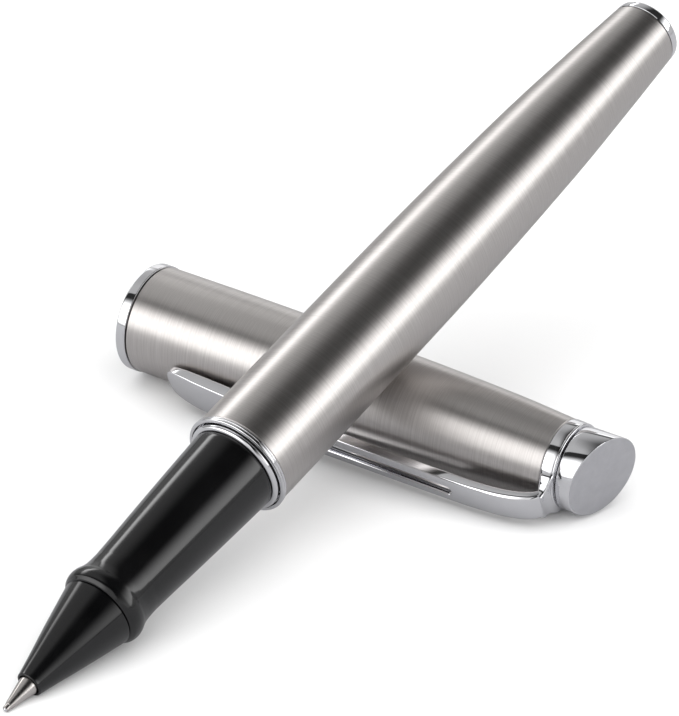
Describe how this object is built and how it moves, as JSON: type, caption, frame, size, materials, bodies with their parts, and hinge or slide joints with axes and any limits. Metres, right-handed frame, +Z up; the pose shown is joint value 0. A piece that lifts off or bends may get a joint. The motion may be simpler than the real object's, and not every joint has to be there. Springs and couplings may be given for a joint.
{
  "type": "rollerball pen",
  "caption": "Brushed steel rollerball pen lying uncapped across its own cap, with a glossy black grip, a polished clip and a slanted cap top",
  "frame": {"origin": "bottom centre of the bounding box of the pen and its cap as they lie, on the table plane", "axes": "+Z up from the table; +Y is the plan direction of the pen from writing tip to tail; +X is close to the cap's direction from mouth to closed end"},
  "size_m": [0.0636, 0.1196, 0.0372],
  "materials": {
    "steel_ball": "polished hard metal",
    "nickel_tip": "satin turned nickel silver",
    "refill_plastic": "moulded plastic",
    "refill_steel": "plain drawn steel tube",
    "ink_felt": "ink-soaked fibre",
    "black_gloss": "glossy black resin",
    "brass": "turned brass",
    "chrome_trim": "polished chrome plate",
    "black_rubber": "soft seal",
    "brushed_body": "fine brushing round the tube",
    "spring_steel": "bright spring steel",
    "inner_cap_plastic": "moulded plastic"
  },
  "bodies": {
    "cap": {"cap_tube": "brushed_body", "cap_lip_ring": "chrome_trim", "cap_snap_ring": "spring_steel", "inner_cap": "inner_cap_plastic", "cap_screw": "spring_steel", "clip_collar": "chrome_trim", "finial": "chrome_trim"},
    "clip": {"clip_arm": "chrome_trim"},
    "section": {"grip_section": "black_gloss", "nose_cone": "black_gloss", "section_insert": "brass", "section_ring": "chrome_trim", "tip_cone": "nickel_tip", "refill_nose": "refill_plastic", "refill_tube": "refill_steel", "ink_reservoir": "ink_felt", "refill_end_plug": "refill_plastic"},
    "ball": {"tip_ball": "steel_ball"},
    "washer": {"thread_washer": "black_rubber"},
    "barrel": {"barrel_tube": "brushed_body", "barrel_mouth_ring": "chrome_trim", "barrel_liner": "brass", "barrel_spring": "spring_steel", "tail_plug": "chrome_trim", "tail_band": "chrome_trim"}
  },
  "joints": [
    {"name": "pen_lift", "type": "slide", "parent": "cap", "child": "section", "axis": [0, 0, 1], "range_m": [0, 0.06]},
    {"name": "clip_flex", "type": "hinge", "parent": "cap", "child": "clip", "pos_m": [0.02659, 0.00229, 0.00306], "axis": [0.0444, -0.3564, 0.9333], "range_deg": [0, 3], "stiffness_Nm_per_rad": 1},
    {"name": "ball_roll", "type": "hinge", "parent": "section", "child": "ball", "pos_m": [0.00256, -0.05955, 0.00039], "axis": [1, 0, 0], "continuous": true},
    {"name": "barrel_turn", "type": "hinge", "parent": "section", "child": "washer", "pos_m": [0.00256, -0.02058, 0.01118], "axis": [0, -0.9638, -0.2667], "range_deg": [0, 2520]},
    {"name": "barrel_advance", "type": "slide", "parent": "washer", "child": "barrel", "axis": [0, 0.9638, 0.2667], "range_m": [0, 0.007]}
  ],
  "couplings": [
    {"joint": "barrel_turn", "follows": "barrel_advance", "rad_per_m": 6283.2}
  ]
}
